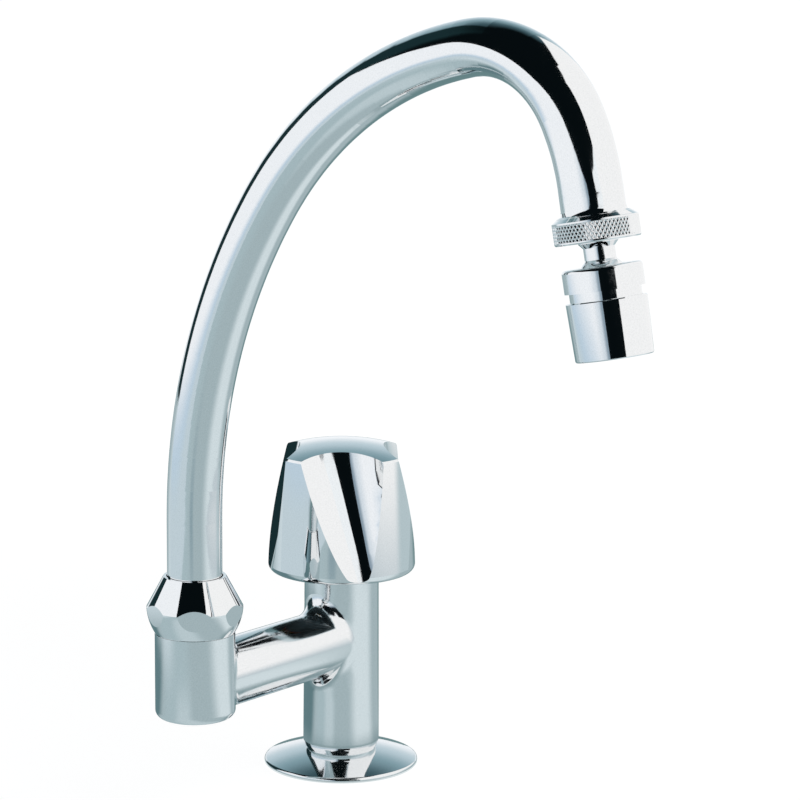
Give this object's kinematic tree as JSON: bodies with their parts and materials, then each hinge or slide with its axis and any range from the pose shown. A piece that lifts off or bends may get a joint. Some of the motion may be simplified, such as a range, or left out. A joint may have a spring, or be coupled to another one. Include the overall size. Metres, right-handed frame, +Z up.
{
  "type": "kitchen tap",
  "caption": "Deck tap with a fluted turning knob, a side arm, a high swivel spout and a ball-joint aerator with a sliding spray sleeve.",
  "frame": {"origin": "on the column's axis, in the plane of the worktop under the cover disc", "axes": "+Z up along the column; +X from the spout's socket to the column; the spout points along -Y at rest"},
  "size_m": [0.1172, 0.2018, 0.326],
  "materials": {
    "chrome_flange": "polished chrome plate",
    "chrome_body": "polished chrome plate",
    "chrome_nut": "polished chrome plate",
    "chrome_knob": "polished chrome plate",
    "chrome_tube": "polished chrome plate",
    "chrome_ring": "polished chrome plate",
    "chrome_stud": "polished chrome plate",
    "chrome_housing": "polished chrome plate",
    "chrome_sleeve": "polished chrome plate",
    "brass": "turned",
    "steel": "zinc plated",
    "rubber": "matt",
    "white_nylon": "moulded",
    "grey_acetal": "moulded",
    "red_fibre": "pressed fibre"
  },
  "bodies": {
    "fixed_body": {"tap_body": "chrome_body", "deck_flange": "chrome_flange", "deck_gasket": "rubber", "inlet_shank": "brass", "deck_washer": "rubber", "clamp_washer": "steel", "backnut": "brass", "headwork_washer": "red_fibre", "headwork_body": "brass", "spout_nut": "chrome_nut", "lower_slip_ring": "white_nylon", "upper_slip_ring": "white_nylon"},
    "knob_group": {"knob": "chrome_knob", "knob_bush": "white_nylon", "knob_spring_ring": "steel", "spindle": "brass", "spindle_seals": "rubber", "spindle_clip": "steel"},
    "valve": {"valve_carrier": "brass", "valve_washer": "rubber", "valve_screw": "brass"},
    "spout": {"spout_tube": "chrome_tube", "spout_collar": "brass", "spout_seals": "rubber", "outlet_ferrule": "chrome_tube", "knurled_ring": "chrome_ring", "coupling_seal": "rubber", "ball_stud": "chrome_stud"},
    "liner": {"ball_liner": "white_nylon"},
    "aerator": {"aerator_housing": "chrome_housing", "ball_retainer": "brass", "retainer_seal": "rubber", "mesh_screen": "steel", "core_seal": "rubber", "aerator_core": "grey_acetal"},
    "sleeve": {"aerator_sleeve": "chrome_sleeve", "spray_face": "grey_acetal"}
  },
  "joints": [
    {"name": "knob_turn", "type": "hinge", "parent": "fixed_body", "child": "knob_group", "pos_m": [0, 0, 0.09], "axis": [0, 0, 1], "range_deg": [0, 720]},
    {"name": "valve_lift", "type": "slide", "parent": "fixed_body", "child": "valve", "axis": [0, 0, 1], "range_m": [0, 0.00401]},
    {"name": "spout_swivel", "type": "hinge", "parent": "fixed_body", "child": "spout", "pos_m": [-0.0746, 0, 0.07], "axis": [0, 0, 1], "continuous": true},
    {"name": "aerator_tilt", "type": "hinge", "parent": "spout", "child": "liner", "pos_m": [-0.0746, -0.15961, 0.1929], "axis": [1, 0, 0], "range_deg": [-15, 15]},
    {"name": "aerator_swivel", "type": "hinge", "parent": "liner", "child": "aerator", "pos_m": [-0.0746, -0.15961, 0.1929], "axis": [0, -0.1977, -0.9803], "continuous": true},
    {"name": "sleeve_slide", "type": "slide", "parent": "aerator", "child": "sleeve", "axis": [0, 0.1977, 0.9803], "range_m": [0, 0.0024]}
  ],
  "couplings": [
    {"joint": "valve_lift", "follows": "knob_turn", "m_per_rad": 0.00031831}
  ]
}
